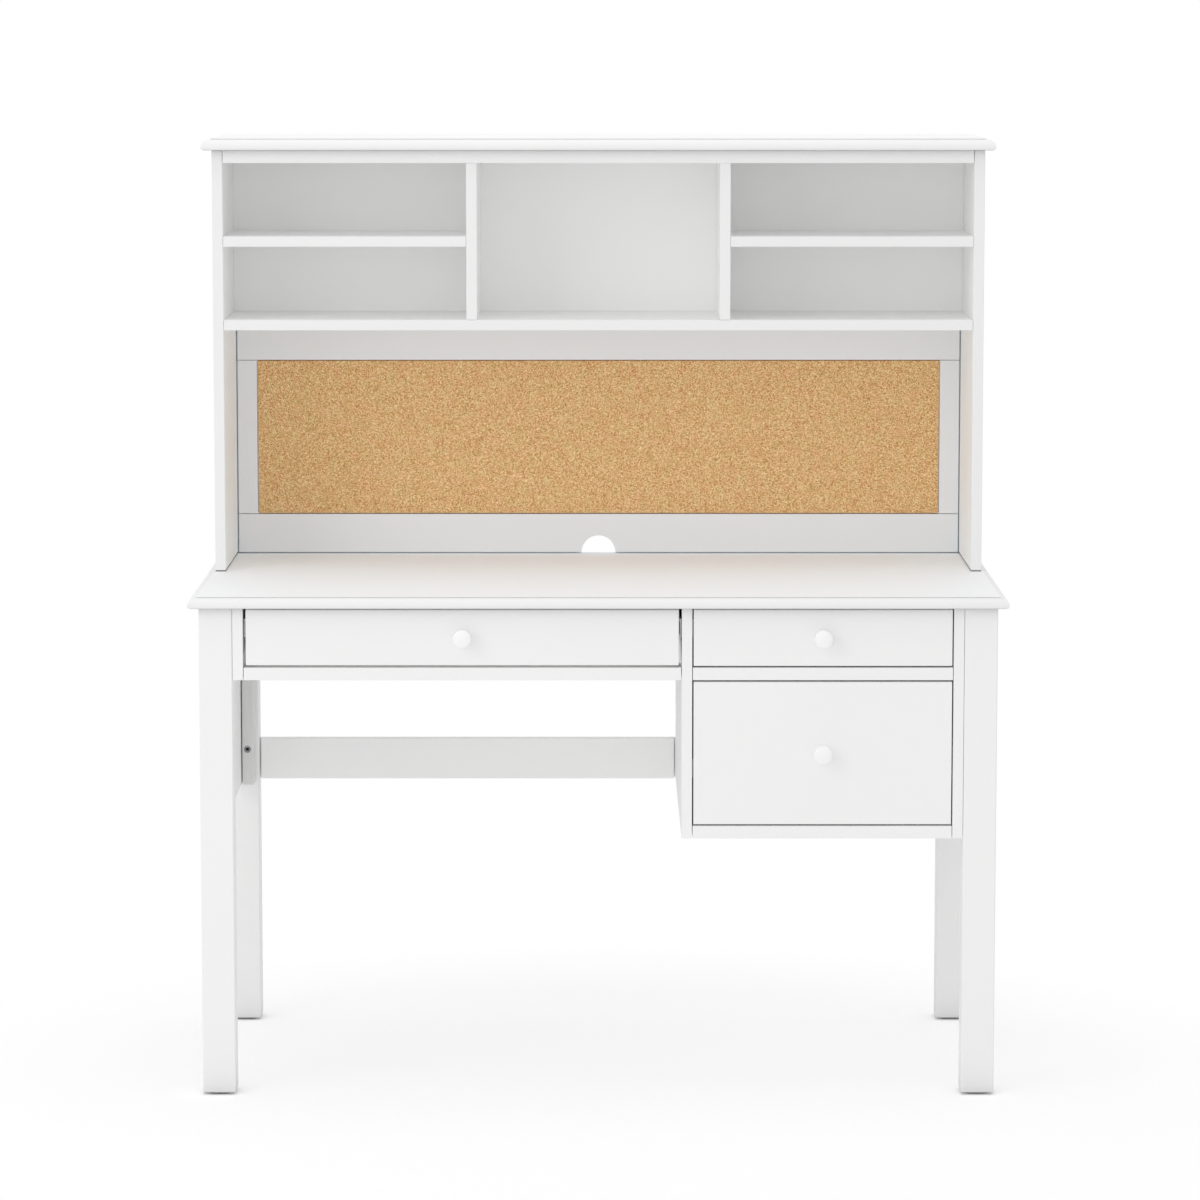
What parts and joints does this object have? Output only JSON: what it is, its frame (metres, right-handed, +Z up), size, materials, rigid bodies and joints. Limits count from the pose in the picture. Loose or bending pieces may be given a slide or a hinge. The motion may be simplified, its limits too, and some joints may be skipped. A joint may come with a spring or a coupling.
{
  "type": "student desk with hutch",
  "caption": "Student desk on square legs, with a wide drawer beside a drawer pedestal and an open shelf hutch with a cork pinboard behind the top.",
  "frame": {"origin": "on the floor, under the middle of the box that holds the whole desk", "axes": "+X to the right for someone sitting at the desk, +Y from the front to the back, +Z up"},
  "size_m": [1.22, 0.6154, 1.4242],
  "materials": {
    "white_paint": "satin white paint over solid wood and board",
    "white_laminate": "white laminated board",
    "white_hardboard": "thin board with a white face",
    "brown_hardboard": "bare brown hardboard",
    "cork": "pressed natural cork",
    "bare_wood": "bare beech",
    "slide_steel": "bright zinc plating",
    "dark_steel": "dark plated steel",
    "glide_plastic": "pale nylon"
  },
  "bodies": {
    "desk": {"desktop": "white_paint", "leg_front_left": "white_paint", "leg_front_right": "white_paint", "leg_rear_left": "white_paint", "leg_rear_right": "white_paint", "left_end_panel": "white_paint", "right_end_panel": "white_paint", "corner_cleats": "white_paint", "left_case_side": "white_paint", "pedestal_left_side": "white_paint", "pedestal_right_side": "white_paint", "wide_drawer_rail": "white_paint", "pedestal_mid_rail": "white_paint", "pedestal_bottom": "white_paint", "rear_stretcher": "white_paint", "hutch_crown": "white_paint", "hutch_left_side": "white_paint", "hutch_right_side": "white_paint", "hutch_face_rail": "white_paint", "main_shelf": "white_paint", "left_divider": "white_paint", "right_divider": "white_paint", "left_mid_shelf": "white_paint", "right_mid_shelf": "white_paint", "upper_back_panel": "white_paint", "pinboard_top_rail": "white_paint", "pinboard_bottom_rail": "white_paint", "pinboard_stiles": "white_paint", "case_back": "white_hardboard", "pedestal_back": "white_hardboard", "cork_sheet": "cork", "cork_backing": "brown_hardboard", "hutch_dowels": "bare_wood", "leg_glides": "glide_plastic", "cleat_bolts": "dark_steel", "slide_channels": "slide_steel"},
    "wide_drawer": {"wide_drawer_front": "white_paint", "wide_drawer_knob": "white_paint", "wide_drawer_knob_screw": "slide_steel", "wide_drawer_sides": "white_laminate", "wide_drawer_back": "white_laminate", "wide_drawer_bottom": "white_hardboard", "wide_drawer_runners": "slide_steel"},
    "wide_drawer_slides": {"wide_drawer_mid_slides": "slide_steel"},
    "small_drawer": {"small_drawer_front": "white_paint", "small_drawer_knob": "white_paint", "small_drawer_knob_screw": "slide_steel", "small_drawer_sides": "white_laminate", "small_drawer_back": "white_laminate", "small_drawer_bottom": "white_hardboard", "small_drawer_runners": "slide_steel"},
    "small_drawer_slides": {"small_drawer_mid_slides": "slide_steel"},
    "deep_drawer": {"deep_drawer_front": "white_paint", "deep_drawer_knob": "white_paint", "deep_drawer_knob_screw": "slide_steel", "deep_drawer_sides": "white_laminate", "deep_drawer_back": "white_laminate", "deep_drawer_bottom": "white_hardboard", "deep_drawer_runners": "slide_steel"},
    "deep_drawer_slides": {"deep_drawer_mid_slides": "slide_steel"}
  },
  "joints": [
    {"name": "wide_drawer_slide", "type": "slide", "parent": "desk", "child": "wide_drawer", "axis": [0, -1, 0], "range_m": [0, 0.45]},
    {"name": "wide_drawer_mid_slide", "type": "slide", "parent": "desk", "child": "wide_drawer_slides", "axis": [0, -1, 0], "range_m": [0, 0.225]},
    {"name": "small_drawer_slide", "type": "slide", "parent": "desk", "child": "small_drawer", "axis": [0, -1, 0], "range_m": [0, 0.45]},
    {"name": "small_drawer_mid_slide", "type": "slide", "parent": "desk", "child": "small_drawer_slides", "axis": [0, -1, 0], "range_m": [0, 0.225]},
    {"name": "deep_drawer_slide", "type": "slide", "parent": "desk", "child": "deep_drawer", "axis": [0, -1, 0], "range_m": [0, 0.45]},
    {"name": "deep_drawer_mid_slide", "type": "slide", "parent": "desk", "child": "deep_drawer_slides", "axis": [0, -1, 0], "range_m": [0, 0.225]}
  ],
  "couplings": [
    {"joint": "wide_drawer_mid_slide", "follows": "wide_drawer_slide", "ratio": 0.5},
    {"joint": "small_drawer_mid_slide", "follows": "small_drawer_slide", "ratio": 0.5},
    {"joint": "deep_drawer_mid_slide", "follows": "deep_drawer_slide", "ratio": 0.5}
  ]
}
